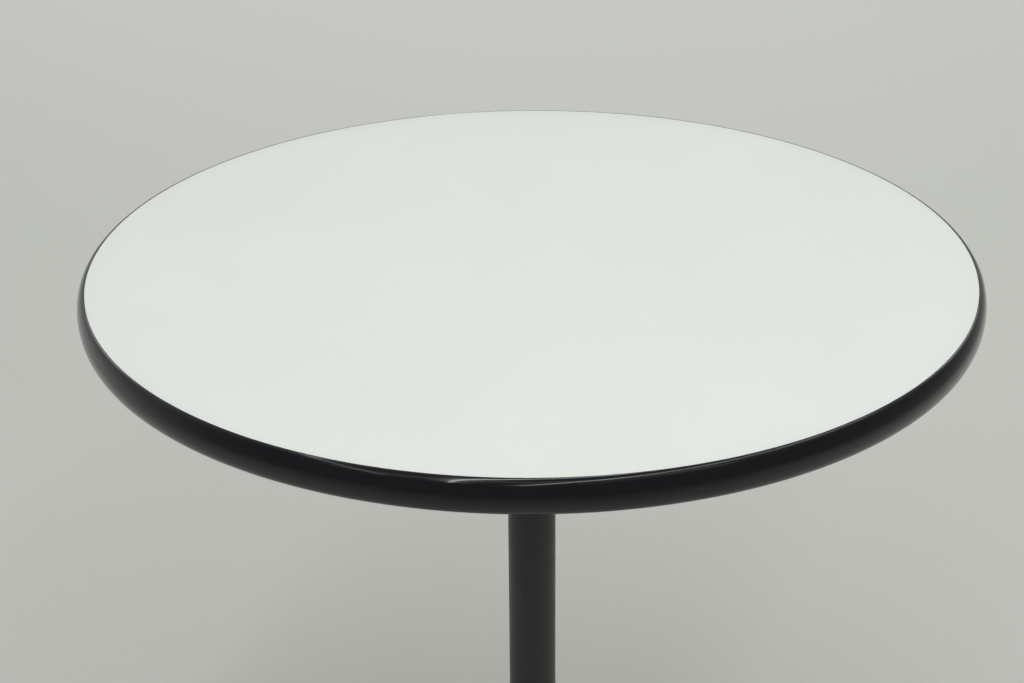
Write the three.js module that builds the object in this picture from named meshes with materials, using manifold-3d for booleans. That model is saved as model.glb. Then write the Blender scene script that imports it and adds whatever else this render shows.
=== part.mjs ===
// Round bistro table on a single slim column.
//
// A laminated board top with a soft D-shaped edge band is screwed to a four-armed spider. A long tie
// rod inside the column draws the spider, the column and the base hub together. Four hollow cast legs
// plug into the hub and are bolted from below, and each leg carries a screw-in levelling glide.
//
// Units are millimetres, +Z is up, and the origin is on the floor under the middle of the column.

import * as THREE from "three";
import { mergeVertices } from "three/addons/utils/BufferGeometryUtils.js";
import Module from "manifold-3d";

const wasm = await Module();
wasm.setup();

// ---------------------------------------------------------------- driving dimensions

const TABLE_HEIGHT = 724;
const TOP_DIAMETER = 762; // across the edge band
const TOP_THICKNESS = 28.6;
const EDGE_BULGE = 6.8; // how far the edge band stands out from the board
const COLUMN_DIAMETER = 43;
const FOOT_RADIUS = 265; // from the column's axis to each glide's axis
const FIT = 0.3; // clearance all round a piece that plugs, screws or drops into another
const CHAMFER = 2; // on turned rims

// Top
const LAMINATE_THICKNESS = 1.2;
const BACKER_THICKNESS = 0.9;
const BAND_TONGUE = { thickness: 2.6, depth: 12.5 }; // pushed into a slot round the core's rim
const INSERT = { radius: 5, length: 12, holeDepth: 13.5 };
const TOP_SCREW = { radius: 3, length: 16, headRadius: 6, headHeight: 3.6, socket: 4, socketDepth: 2.2 };
const TOP_SCREW_RADII = { inner: 150, outer: 238 };

// Column and tie rod
const COLUMN_WALL = 2;
const COLLAR_RADIUS = 27.5; // of the hub's and the spider's sockets, outside
const ROD = { radius: 5, bottom: 40, topSetback: 2 };
const NUT = { across: 17, height: 8.4 };
const WASHER = { radius: 20, thickness: 2.5 };

// Spider, measured down from the underside of the top
const SPIDER = {
  plateRadius: 52,
  plateThickness: 7,
  socketCeiling: 14,
  collarTop: 36,
  height: 44,
  web: 5,
  flange: 4,
  arm: { start: 24, end: 240, halfStart: 19, halfEnd: 13, dropStart: 36, dropEnd: 9 },
};

// Base hub
const HUB = {
  radius: 66,
  bottom: 22,
  skirtTop: 64,
  shoulder: 12,
  collarBottom: 100,
  socketFloor: 76,
  top: 110,
  cavityRadius: 24,
  cavityTop: 58,
};

// Legs: a level root inside the hub, then a tapering arm whose top and underside both slope
const LEG = {
  rootStart: 35,
  halfStart: 22,
  halfEnd: 17,
  topStart: 60,
  topEnd: 38,
  bottomEnd: 15,
  shoulder: 6,
  wall: 5.5,
  hollows: [[76, 155], [160, 243]], // from the underside, with a rib left between them
};
const LEG_BOLT = { radius: 4, length: 40, headRadius: 6.5, headHeight: 8, socket: 6, socketDepth: 4.5 };
const LEG_BOLT_SEAT = { along: 51, side: 11, headFace: 23 };

// Levelling glides
const PAD = { radius: 16, topRadius: 13, rimHeight: 6, height: 9 };
const STEM = { radius: 5, top: 33, neckRadius: 4.9, hexAcross: 17, hexHeight: 5 };
const STEM_HEAD = { radius: 7.3, bottom: 3.3, top: 6.2 };

// How finely round things are cut
const TOP_SEGMENTS = 72;
const COLUMN_SEGMENTS = 40;
const DISC_SEGMENTS = 24;
const FASTENER_SEGMENTS = 12;
const EDGE_STEPS = 8;
const CURVE_STEPS = 4;

// ---------------------------------------------------------------- derived heights and radii

const PANEL_RADIUS = TOP_DIAMETER / 2 - EDGE_BULGE; // where the board ends and the band begins
const UNDERSIDE = TABLE_HEIGHT - TOP_THICKNESS;
const CORE_TOP = TABLE_HEIGHT - LAMINATE_THICKNESS;
const CORE_BOTTOM = UNDERSIDE + BACKER_THICKNESS;
const EDGE_MIDDLE = TABLE_HEIGHT - TOP_THICKNESS / 2;
const COLUMN_RADIUS = COLUMN_DIAMETER / 2;
const SOCKET_RADIUS = COLUMN_RADIUS + FIT;
const ROD_BORE = ROD.radius + FIT;
const ARM_LENGTH = FOOT_RADIUS - HUB.radius;
const BEYOND = 400; // past the outside of anything that is trimmed

const CORNERS = ["front_right", "back_right", "back_left", "front_left"];
const cornerAngle = (i) => -Math.PI / 4 + (i * Math.PI) / 2;

// ---------------------------------------------------------------- joining and cutting

function toSolid(geometry) {
  const bare = new THREE.BufferGeometry();
  bare.setAttribute("position", geometry.getAttribute("position"));
  bare.setIndex(geometry.index);
  const merged = mergeVertices(bare, 1e-3);
  const vertProperties = merged.getAttribute("position").array;
  const triVerts = new Uint32Array(merged.index.array);
  return new wasm.Manifold(new wasm.Mesh({ numProp: 3, vertProperties, triVerts }));
}

function fromSolid(body) {
  const mesh = body.getMesh();
  const geometry = new THREE.BufferGeometry();
  geometry.setAttribute("position", new THREE.BufferAttribute(mesh.vertProperties, mesh.numProp));
  geometry.setIndex(new THREE.BufferAttribute(mesh.triVerts, 1));
  return geometry;
}

const join = (...pieces) => fromSolid(pieces.map(toSolid).reduce((all, next) => all.add(next)));
const cut = (piece, ...tools) =>
  fromSolid(tools.map(toSolid).reduce((left, tool) => left.subtract(tool), toSolid(piece)));
const common = (a, b) => fromSolid(toSolid(a).intersect(toSolid(b)));

// ---------------------------------------------------------------- basic shapes

// Turns a profile of [radius, height] pairs round the Z axis. Its points run anticlockwise, with the
// radius across and the height up, and it starts and ends on the axis or closes on itself.
function turn(profile, segments) {
  const points = profile.map(([r, z]) => new THREE.Vector2(r, z));
  if (points[0].x > 0) points.push(points[0].clone());
  return new THREE.LatheGeometry(points, segments).rotateX(Math.PI / 2);
}

// An upright cylinder between two heights.
function cylinder(radius, low, high, segments = FASTENER_SEGMENTS) {
  return turn([[0, low], [radius, low], [radius, high], [0, high]], segments);
}

// An upright ring between two heights.
function ring(inner, outer, low, high, segments) {
  return turn([[inner, low], [outer, low], [outer, high], [inner, high]], segments);
}

// An upright hexagonal bar, given its size across the flats.
const hexagon = (across, low, high) => cylinder(across / Math.sqrt(3), low, high, 6);

// Everything on the low side of a height, as far as x = from in one direction.
function blockBelow(height, from = -BEYOND) {
  const width = BEYOND - from;
  const block = new THREE.BoxGeometry(width, 2 * BEYOND, BEYOND);
  return block.translate(from + width / 2, 0, height - BEYOND / 2);
}

// An outline seen from above: a bar along X that tapers to a round or a square end.
function barOutline(start, end, halfStart, halfEnd, round = true) {
  const outline = new THREE.Shape();
  outline.moveTo(start, -halfStart);
  outline.lineTo(end, -halfEnd);
  if (round) outline.absarc(end, 0, halfEnd, -Math.PI / 2, Math.PI / 2, false);
  outline.lineTo(end, halfEnd);
  outline.lineTo(start, halfStart);
  outline.closePath();
  return outline;
}

// An outline raised between two heights.
function raise(outline, low, high) {
  const options = { depth: high - low, bevelEnabled: false, curveSegments: CURVE_STEPS };
  return new THREE.ExtrudeGeometry(outline, options).translate(0, 0, low);
}

// An outline raised from far below, with its upper edges rounded.
function raiseRounded(outline, high, radius) {
  const options = {
    depth: BEYOND,
    bevelThickness: radius,
    bevelSize: radius,
    bevelOffset: -radius,
    bevelSegments: 2,
    curveSegments: CURVE_STEPS,
  };
  return new THREE.ExtrudeGeometry(outline, options).translate(0, 0, high - radius - BEYOND);
}

// Slopes a geometry along X. It stays where it is at x = from.
function slope(geometry, rise, from) {
  const shear = new THREE.Matrix4().makeShear(0, rise, 0, 0, 0, 0);
  return geometry.applyMatrix4(shear).translate(0, 0, -rise * from);
}

// A screw that points up from its head's face at height 0, with a hexagonal socket in the head.
function socketScrew({ radius, length, headRadius, headHeight, socket, socketDepth }) {
  const head = cylinder(headRadius, 0, headHeight);
  const shank = cylinder(radius, headHeight / 2, headHeight + length);
  return cut(join(head, shank), hexagon(socket, -1, socketDepth));
}

// ---------------------------------------------------------------- the top

// The name and the place of each screw that holds the top to the spider.
const topScrews = CORNERS.flatMap((corner, i) =>
  Object.entries(TOP_SCREW_RADII).map(([place, radius]) => ({
    name: `${corner}_${place}`,
    x: radius * Math.cos(cornerAngle(i)),
    y: radius * Math.sin(cornerAngle(i)),
  })),
);

// Holes for the threaded inserts, from below the top up to a height.
const insertHoles = (high) =>
  topScrews.map(({ x, y }) => cylinder(INSERT.radius + FIT, UNDERSIDE - 1, high).translate(x, y, 0));

const laminate = () => cylinder(PANEL_RADIUS - FIT, CORE_TOP, TABLE_HEIGHT, TOP_SEGMENTS);

function core() {
  const rim = PANEL_RADIUS - FIT;
  const slotHalf = BAND_TONGUE.thickness / 2 + FIT;
  const slotFloor = PANEL_RADIUS - BAND_TONGUE.depth - FIT;
  const board = turn(
    [
      [0, CORE_BOTTOM],
      [rim, CORE_BOTTOM],
      [rim, EDGE_MIDDLE - slotHalf],
      [slotFloor, EDGE_MIDDLE - slotHalf],
      [slotFloor, EDGE_MIDDLE + slotHalf],
      [rim, EDGE_MIDDLE + slotHalf],
      [rim, CORE_TOP],
      [0, CORE_TOP],
    ],
    TOP_SEGMENTS,
  );
  return cut(board, ...insertHoles(UNDERSIDE + INSERT.holeDepth));
}

function backer() {
  const sheet = cylinder(PANEL_RADIUS - FIT, UNDERSIDE, CORE_BOTTOM, TOP_SEGMENTS);
  return cut(sheet, ...insertHoles(CORE_BOTTOM + 1));
}

// The D-shaped band: half an ellipse outside, a flat face and a tongue inside.
function edgeBand() {
  const half = BAND_TONGUE.thickness / 2;
  const tip = PANEL_RADIUS - BAND_TONGUE.depth;
  const bulge = new THREE.EllipseCurve(
    PANEL_RADIUS,
    EDGE_MIDDLE,
    EDGE_BULGE,
    TOP_THICKNESS / 2,
    -Math.PI / 2,
    Math.PI / 2,
  );
  return turn(
    [
      ...bulge.getPoints(EDGE_STEPS).map(({ x, y }) => [x, y]),
      [PANEL_RADIUS, EDGE_MIDDLE + half],
      [tip, EDGE_MIDDLE + half],
      [tip, EDGE_MIDDLE - half],
      [PANEL_RADIUS, EDGE_MIDDLE - half],
    ],
    TOP_SEGMENTS,
  );
}

const insert = () => ring(TOP_SCREW.radius + FIT, INSERT.radius, 0, INSERT.length, FASTENER_SEGMENTS);

// ---------------------------------------------------------------- the spider and the column

// One channel-shaped arm along X, its web's upper face at height 0, with holes for two screws.
function spiderArm() {
  const { arm, web, flange, plateRadius } = SPIDER;
  const outline = barOutline(arm.start, arm.end, arm.halfStart, arm.halfEnd);
  const inside = barOutline(plateRadius + flange, arm.end, arm.halfStart - flange, arm.halfEnd - flange);
  const rise = (arm.dropStart - arm.dropEnd) / (arm.end - arm.start);
  const holes = Object.values(TOP_SCREW_RADII).map((radius) =>
    cylinder(TOP_SCREW.radius + FIT, -web - 1, 1).translate(radius, 0, 0),
  );
  return cut(
    raise(outline, -arm.dropStart, 0),
    slope(blockBelow(-arm.dropStart), rise, arm.start),
    raise(inside, -BEYOND, -web),
    ...holes,
  );
}

function spider() {
  const { height, collarTop, plateRadius, plateThickness, socketCeiling } = SPIDER;
  const sweep = new THREE.QuadraticBezierCurve(
    new THREE.Vector2(COLLAR_RADIUS, -collarTop),
    new THREE.Vector2(COLLAR_RADIUS, -plateThickness),
    new THREE.Vector2(plateRadius, -plateThickness),
  );
  const head = turn(
    [
      [SOCKET_RADIUS, -height],
      [COLLAR_RADIUS - CHAMFER, -height],
      [COLLAR_RADIUS, -height + CHAMFER],
      ...sweep.getPoints(CURVE_STEPS).map(({ x, y }) => [x, y]),
      [plateRadius, 0],
      [ROD_BORE, 0],
      [ROD_BORE, -socketCeiling],
      [SOCKET_RADIUS, -socketCeiling],
    ],
    COLUMN_SEGMENTS,
  );
  const arms = CORNERS.map((corner, i) => spiderArm().rotateZ(cornerAngle(i)));
  return join(head, ...arms).translate(0, 0, UNDERSIDE);
}

function column() {
  const top = UNDERSIDE - SPIDER.socketCeiling;
  return ring(COLUMN_RADIUS - COLUMN_WALL, COLUMN_RADIUS, HUB.socketFloor, top, COLUMN_SEGMENTS);
}

const tieRod = () => cylinder(ROD.radius, ROD.bottom, UNDERSIDE - ROD.topSetback);

const rodWasher = () =>
  ring(ROD_BORE, WASHER.radius, HUB.cavityTop - WASHER.thickness, HUB.cavityTop, DISC_SEGMENTS);

function rodNut() {
  const top = HUB.cavityTop - WASHER.thickness;
  const bottom = top - NUT.height;
  return cut(hexagon(NUT.across, bottom, top), cylinder(ROD_BORE, bottom - 1, top + 1));
}

// ---------------------------------------------------------------- the base

// The level root that plugs into the hub, grown by a clearance where it cuts the hub's socket.
function legRoot(clearance = 0) {
  const half = LEG.halfStart + clearance;
  const outline = barOutline(LEG.rootStart - clearance, FOOT_RADIUS, half, half, false);
  return raiseRounded(outline, LEG.topStart + clearance, LEG.shoulder);
}

const legHalfWidth = (x) => LEG.halfStart + ((LEG.halfEnd - LEG.halfStart) * (x - HUB.radius)) / ARM_LENGTH;

// One leg along X: the root, a ribbed channel and a solid end that takes the glide.
function leg() {
  const fall = (LEG.topEnd - LEG.topStart) / ARM_LENGTH;
  const undersideFall = (LEG.bottomEnd - HUB.bottom) / ARM_LENGTH;
  const insideHub = blockBelow(BEYOND / 2).translate(HUB.radius - BEYOND, 0, 0);
  const root = cut(common(legRoot(), insideHub), blockBelow(HUB.bottom));

  const outline = barOutline(LEG.rootStart, FOOT_RADIUS, legHalfWidth(LEG.rootStart), LEG.halfEnd);
  const arm = cut(
    slope(raiseRounded(outline, LEG.topStart, LEG.shoulder), fall, HUB.radius),
    slope(blockBelow(HUB.bottom), undersideFall, HUB.radius),
    insideHub,
  );

  const hollows = LEG.hollows.map(([start, end]) => {
    const halves = [legHalfWidth(start) - LEG.wall, legHalfWidth(end) - LEG.wall];
    const inside = barOutline(start, end, ...halves, false);
    return slope(raise(inside, -BEYOND, LEG.topStart - LEG.wall), fall, HUB.radius);
  });
  const glideBore = cylinder(STEM.radius + FIT, 0, STEM.top + 1).translate(FOOT_RADIUS, 0, 0);
  const boltHoles = [-1, 1].flatMap((side) => {
    const { along, headFace } = LEG_BOLT_SEAT;
    const counterbore = cylinder(LEG_BOLT.headRadius + FIT, 0, headFace + LEG_BOLT.headHeight);
    const hole = cylinder(LEG_BOLT.radius + FIT, 0, LEG.topStart + 1);
    return [counterbore, hole].map((tool) => tool.translate(along, side * LEG_BOLT_SEAT.side, 0));
  });
  return cut(join(root, arm), ...hollows, glideBore, ...boltHoles);
}

function hub() {
  const shoulderRadius = HUB.radius - HUB.shoulder;
  const shoulderTop = HUB.skirtTop + HUB.shoulder;
  const shoulder = new THREE.EllipseCurve(
    shoulderRadius,
    HUB.skirtTop,
    HUB.shoulder,
    HUB.shoulder,
    0,
    Math.PI / 2,
  );
  const sweep = new THREE.QuadraticBezierCurve(
    new THREE.Vector2(shoulderRadius, shoulderTop),
    new THREE.Vector2(COLLAR_RADIUS, shoulderTop),
    new THREE.Vector2(COLLAR_RADIUS, HUB.collarBottom),
  );
  const casting = turn(
    [
      [HUB.cavityRadius, HUB.bottom],
      [HUB.radius, HUB.bottom],
      ...shoulder.getPoints(CURVE_STEPS).map(({ x, y }) => [x, y]),
      ...sweep.getPoints(CURVE_STEPS).slice(1).map(({ x, y }) => [x, y]),
      [COLLAR_RADIUS, HUB.top - CHAMFER],
      [COLLAR_RADIUS - CHAMFER, HUB.top],
      [SOCKET_RADIUS, HUB.top],
      [SOCKET_RADIUS, HUB.socketFloor],
      [ROD_BORE, HUB.socketFloor],
      [ROD_BORE, HUB.cavityTop],
      [HUB.cavityRadius, HUB.cavityTop],
    ],
    COLUMN_SEGMENTS,
  );
  const boltTop = LEG_BOLT_SEAT.headFace + LEG_BOLT.headHeight + LEG_BOLT.length;
  const cuts = CORNERS.flatMap((corner, i) => {
    const boltHoles = [-1, 1].map((side) =>
      cylinder(LEG_BOLT.radius + FIT, HUB.bottom, boltTop + 1).translate(
        LEG_BOLT_SEAT.along,
        side * LEG_BOLT_SEAT.side,
        0,
      ),
    );
    return [legRoot(FIT), ...boltHoles].map((tool) => tool.rotateZ(cornerAngle(i)));
  });
  return cut(casting, ...cuts);
}

// ---------------------------------------------------------------- levelling glides

// The plastic foot that stands on the floor. The stem's head is caught inside it and can spin.
function glidePad() {
  const neck = STEM.neckRadius + FIT;
  const head = STEM_HEAD.radius + FIT;
  return turn(
    [
      [0, 0],
      [PAD.radius - CHAMFER, 0],
      [PAD.radius, CHAMFER],
      [PAD.radius, PAD.rimHeight],
      [PAD.topRadius, PAD.height],
      [neck, PAD.height],
      [neck, STEM_HEAD.top + FIT],
      [head, STEM_HEAD.top + FIT],
      [head, STEM_HEAD.bottom - FIT],
      [0, STEM_HEAD.bottom - FIT],
    ],
    DISC_SEGMENTS,
  );
}

// The screw that raises and lowers its corner, with a hexagon for a spanner.
function glideStem() {
  const hexBottom = PAD.height + FIT;
  const spindle = turn(
    [
      [0, STEM_HEAD.bottom],
      [STEM_HEAD.radius, STEM_HEAD.bottom],
      [STEM_HEAD.radius, STEM_HEAD.top],
      [STEM.neckRadius, STEM_HEAD.top],
      [STEM.neckRadius, hexBottom + 1],
      [STEM.radius, hexBottom + 1],
      [STEM.radius, STEM.top - 1],
      [STEM.radius - 1, STEM.top],
      [0, STEM.top],
    ],
    FASTENER_SEGMENTS,
  );
  return join(spindle, hexagon(STEM.hexAcross, hexBottom, hexBottom + STEM.hexHeight));
}

// ---------------------------------------------------------------- materials

const finish = (color, roughness, metalness) =>
  new THREE.MeshStandardMaterial({ color, roughness, metalness, flatShading: true });

const MATERIALS = {
  laminate: finish(0xe9ece8, 0.45, 0),
  board: finish(0xb99a6b, 0.9, 0),
  backer: finish(0x2b2724, 0.6, 0),
  vinyl: finish(0x0b0c0f, 0.3, 0),
  paint: finish(0x25262a, 0.55, 0.2),
  steel: finish(0xa9abac, 0.35, 1),
  brass: finish(0xb8954a, 0.35, 1),
  nylon: finish(0x1b1b1c, 0.6, 0),
};

// ---------------------------------------------------------------- the assembly

function place(parent, name, geometry, material) {
  const mesh = new THREE.Mesh(geometry, MATERIALS[material]);
  mesh.name = name;
  parent.add(mesh);
  return mesh;
}

const table = new THREE.Group();
place(table, "top_laminate", laminate(), "laminate");
place(table, "top_core", core(), "board");
place(table, "top_backer", backer(), "backer");
place(table, "edge_band", edgeBand(), "vinyl");
place(table, "top_spider", spider(), "paint");
place(table, "column", column(), "paint");
place(table, "tie_rod", tieRod(), "steel");
place(table, "tie_rod_washer", rodWasher(), "steel");
place(table, "tie_rod_nut", rodNut(), "steel");
place(table, "base_hub", hub(), "paint");

for (const { name, x, y } of topScrews) {
  const headFace = UNDERSIDE - SPIDER.web - TOP_SCREW.headHeight;
  place(table, `insert_${name}`, insert(), "brass").position.set(x, y, UNDERSIDE);
  place(table, `top_screw_${name}`, socketScrew(TOP_SCREW), "steel").position.set(x, y, headFace);
}

CORNERS.forEach((corner, i) => {
  const arm = new THREE.Group();
  arm.rotation.z = cornerAngle(i);
  table.add(arm);
  place(arm, `leg_${corner}`, leg(), "paint");
  for (const [letter, side] of [["a", -1], ["b", 1]]) {
    const bolt = place(arm, `leg_bolt_${corner}_${letter}`, socketScrew(LEG_BOLT), "steel");
    bolt.position.set(LEG_BOLT_SEAT.along, side * LEG_BOLT_SEAT.side, LEG_BOLT_SEAT.headFace);
  }
  place(arm, `glide_pad_${corner}`, glidePad(), "nylon").position.x = FOOT_RADIUS;
  place(arm, `glide_stem_${corner}`, glideStem(), "steel").position.x = FOOT_RADIUS;
});

export default table;
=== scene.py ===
"""A round bistro table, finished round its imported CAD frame. Metres, +Z up."""

import math

import bmesh
import bpy
from mathutils import Matrix, Vector


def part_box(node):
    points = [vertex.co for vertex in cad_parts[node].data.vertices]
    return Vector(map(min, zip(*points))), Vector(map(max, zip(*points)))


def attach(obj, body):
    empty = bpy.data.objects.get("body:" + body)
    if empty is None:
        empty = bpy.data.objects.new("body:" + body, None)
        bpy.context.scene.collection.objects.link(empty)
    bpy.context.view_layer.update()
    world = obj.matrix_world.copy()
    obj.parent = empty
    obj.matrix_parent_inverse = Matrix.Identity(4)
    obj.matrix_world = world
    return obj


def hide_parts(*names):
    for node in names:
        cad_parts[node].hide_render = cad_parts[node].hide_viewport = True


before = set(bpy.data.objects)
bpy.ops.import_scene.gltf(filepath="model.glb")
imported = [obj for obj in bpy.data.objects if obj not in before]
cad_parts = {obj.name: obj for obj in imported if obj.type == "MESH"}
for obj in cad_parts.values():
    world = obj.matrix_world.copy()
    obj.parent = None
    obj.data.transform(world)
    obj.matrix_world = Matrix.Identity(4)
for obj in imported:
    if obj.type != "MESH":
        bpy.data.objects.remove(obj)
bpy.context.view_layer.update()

MM = 0.001
CORNERS = ["front_right", "back_right", "back_left", "front_left"]

# ---------------------------------------------------------------- places, from the frame

band_low, band_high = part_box("edge_band")
sheet_low, sheet_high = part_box("top_laminate")
tube_low, tube_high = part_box("column")
hub_low, hub_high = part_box("base_hub")
pad_low, pad_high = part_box("glide_pad_front_right")
stem_low, stem_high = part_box("glide_stem_front_right")

TOP_Z = band_high.z
UNDERSIDE_Z = band_low.z
EDGE_RADIUS = band_high.x
SHEET_RADIUS = sheet_high.x
COLUMN_RADIUS = tube_high.x
HUB_RADIUS = hub_high.x
HUB_BOTTOM = hub_low.z
HUB_TOP = hub_high.z
FOOT_RADIUS = ((pad_low + pad_high) / 2).xy.length

# ---------------------------------------------------------------- sizes

FIT = 0.3 * MM  # the gap round a piece that plugs, screws or drops into another
PANEL_RADIUS = SHEET_RADIUS + FIT
BAND_TONGUE_DEPTH = 12.5 * MM
BAND_TONGUE_HALF = 1.3 * MM
COLLAR_RADIUS = 27.5 * MM
ROD_RADIUS = 5 * MM
TOP_SCREW_RADII = {"inner": 150 * MM, "outer": 238 * MM}

LEG_ROOT = 35 * MM
LEG_HALF = (22 * MM, 17 * MM)
LEG_TOP = (60 * MM, 38 * MM)
LEG_BOTTOM = (22 * MM, 15 * MM)
LEG_SHOULDER = 6 * MM
LEG_WALL = 5.5 * MM
LEG_HOLLOWS = [(76 * MM, 155 * MM), (160 * MM, 243 * MM)]
LEG_BOLT_ALONG = 51 * MM
LEG_BOLT_SIDE = 11 * MM
LEG_BOLT_FACE = 23 * MM

THREAD_STEPS = 8  # rings to a turn of thread
KNURLS = 24  # ridges round a cap screw's head
KNURL_SWING = 0.012  # half the depth of a ridge, as a share of the head's radius
SCREW_HOLE_RADIUS = 3.3 * MM  # a top screw's hole in the spider, and the bore of an insert
INSERT_HOLE_RADIUS = 5.3 * MM  # an insert's hole in the backer
FOOT_BORE_RADIUS = 5.3 * MM  # a foot screw's bore in a leg
FOOT_PITCH = 1.5 * MM
SPIDER_WEB = 5 * MM  # the thickness of an arm under the top, where the screws' heads bear
BEYOND = 80 * MM  # far enough for a cut to leave the piece
WEAR_REACH = 0.35  # the sine of an edge's fall away from a point whose paint is fully worn
WORN_SLOTS = ("casting_paint", "column_paint")

# ---------------------------------------------------------------- camera

CAMERA_LENS = 71.56
CAMERA_FROM_TOP = Vector((-0.0165, -1.5881, 0.6972))
CAMERA_PITCH = math.radians(26.03)
CAMERA_ROLL = math.radians(-0.54)


def add_camera():
    data = bpy.data.cameras.new("camera")
    data.lens = CAMERA_LENS
    camera = bpy.data.objects.new("camera", data)
    bpy.context.scene.collection.objects.link(camera)
    place = Matrix.Translation(CAMERA_FROM_TOP + Vector((0, 0, TOP_Z)))
    tilt = Matrix.Rotation(math.pi / 2 - CAMERA_PITCH, 4, "X")
    camera.matrix_world = place @ tilt @ Matrix.Rotation(CAMERA_ROLL, 4, "Z")
    bpy.context.scene.camera = camera


add_camera()

# ---------------------------------------------------------------- node helpers


def node(tree, kind, inputs=None, **settings):
    """Adds a node. An input is a value, or the socket that feeds it."""
    made = tree.nodes.new(kind)
    for key, value in settings.items():
        setattr(made, key, value)
    for key, value in (inputs or {}).items():
        if isinstance(value, bpy.types.NodeSocket):
            tree.links.new(value, made.inputs[key])
        else:
            made.inputs[key].default_value = value
    return made


def new_material(name):
    """A material, its node tree, its shader and the coordinates that its textures use."""
    material = bpy.data.materials.new(name)
    material.use_nodes = True
    tree = material.node_tree
    shader = tree.nodes["Principled BSDF"]
    place = node(tree, "ShaderNodeTexCoord").outputs["Object"]
    return material, tree, shader, place


def noise(tree, place, size, detail=3.0, roughness=0.55, stretch=(1, 1, 1)):
    """Noise from 0 to 1 whose lumps are about size across."""
    scaled = node(tree, "ShaderNodeMapping", {"Vector": place, "Scale": stretch})
    inputs = {
        "Vector": scaled.outputs["Vector"],
        "Scale": 1 / size,
        "Detail": detail,
        "Roughness": roughness,
    }
    return node(tree, "ShaderNodeTexNoise", inputs).outputs["Fac"]


def fit(tree, value, low, high, to_low, to_high, smooth=False):
    """A value's range from low to high spread over another range, and held at its ends."""
    kind = "SMOOTHSTEP" if smooth else "LINEAR"
    inputs = {"Value": value, "From Min": low, "From Max": high, "To Min": to_low, "To Max": to_high}
    return node(tree, "ShaderNodeMapRange", inputs, interpolation_type=kind).outputs["Result"]


def blend(tree, share, first, second):
    """Two colours mixed by a share."""
    made = node(tree, "ShaderNodeMix", {"Factor": share}, data_type="RGBA")
    for key, value in (("A", first), ("B", second)):
        socket = next(s for s in made.inputs if s.name == key and s.type == "RGBA")
        if isinstance(value, bpy.types.NodeSocket):
            tree.links.new(value, socket)
        else:
            socket.default_value = (*value, 1)
    return next(s for s in made.outputs if s.type == "RGBA")


def maths(tree, operation, *values):
    made = node(tree, "ShaderNodeMath", operation=operation)
    for i, value in enumerate(values):
        if isinstance(value, bpy.types.NodeSocket):
            tree.links.new(value, made.inputs[i])
        else:
            made.inputs[i].default_value = value
    return made.outputs["Value"]


def bump(tree, height, depth, over=None):
    """A normal from a height between 0 and 1 that stands for depth."""
    inputs = {"Height": height, "Distance": depth, "Strength": 1.0}
    if over is not None:
        inputs["Normal"] = over
    return node(tree, "ShaderNodeBump", inputs).outputs["Normal"]


def height_over_floor(tree, place):
    return node(tree, "ShaderNodeSeparateXYZ", {"Vector": place}).outputs["Z"]


# ---------------------------------------------------------------- materials


def laminate_material():
    """White decorative laminate: a fine suede texture, faint wipe marks, a dark edge to the sheet."""
    material, tree, shader, place = new_material("white_laminate")
    cloud = noise(tree, place, 0.16, detail=2)
    fleck = noise(tree, place, 0.0016, detail=1)
    white = blend(tree, fit(tree, cloud, 0.3, 0.7, 0, 1), (0.785, 0.79, 0.765), (0.805, 0.81, 0.785))
    white = blend(tree, fit(tree, fleck, 0.62, 0.75, 0, 0.12), white, (0.67, 0.68, 0.66))
    normal = node(tree, "ShaderNodeNewGeometry").outputs["True Normal"]
    upward = node(tree, "ShaderNodeSeparateXYZ", {"Vector": normal}).outputs["Z"]
    edge = fit(tree, upward, 0.2, 0.7, 1, 0)
    tree.links.new(blend(tree, edge, white, (0.03, 0.022, 0.018)), shader.inputs["Base Color"])
    wipes = noise(tree, place, 0.09, detail=6, roughness=0.7, stretch=(1, 0.22, 1))
    tree.links.new(fit(tree, wipes, 0.3, 0.7, 0.36, 0.5), shader.inputs["Roughness"])
    suede = noise(tree, place, 0.0007, detail=2)
    tree.links.new(bump(tree, suede, 0.00001), shader.inputs["Normal"])
    shader.inputs["Specular IOR Level"].default_value = 0.5
    return material


def vinyl_material():
    """Black extruded vinyl: soft gloss, drawn-out lengthwise sheen, rubbed along its outer line."""
    material, tree, shader, place = new_material("black_vinyl")
    smear = noise(tree, place, 0.05, detail=5, roughness=0.65, stretch=(1, 1, 4))
    grain = noise(tree, place, 0.0009, detail=2)
    rub = noise(tree, place, 0.012, detail=8, roughness=0.75, stretch=(1, 1, 5))
    height = height_over_floor(tree, place)
    middle = (TOP_Z + UNDERSIDE_Z) / 2
    reach = maths(tree, "ABSOLUTE", maths(tree, "SUBTRACT", height, middle))
    outermost = fit(tree, reach, 0.002, 0.007, 1, 0, smooth=True)
    scuff = maths(tree, "MULTIPLY", outermost, fit(tree, rub, 0.56, 0.7, 0, 1))
    streaks = fit(tree, smear, 0.35, 0.7, 0, 1)
    black = blend(tree, streaks, (0.003, 0.0034, 0.0056), (0.0052, 0.0056, 0.0084))
    black = blend(tree, maths(tree, "MULTIPLY", scuff, 0.35), black, (0.045, 0.045, 0.047))
    tree.links.new(black, shader.inputs["Base Color"])
    gloss = fit(tree, smear, 0.3, 0.75, 0.15, 0.24)
    rough = maths(tree, "ADD", gloss, maths(tree, "MULTIPLY", scuff, 0.2))
    tree.links.new(rough, shader.inputs["Roughness"])
    fine = bump(tree, grain, 0.000006)
    tree.links.new(bump(tree, smear, 0.00008, over=fine), shader.inputs["Normal"])
    shader.inputs["Specular IOR Level"].default_value = 0.2
    shader.inputs["Coat Weight"].default_value = 0.42
    shader.inputs["Coat Roughness"].default_value = 0.055
    return material


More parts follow.
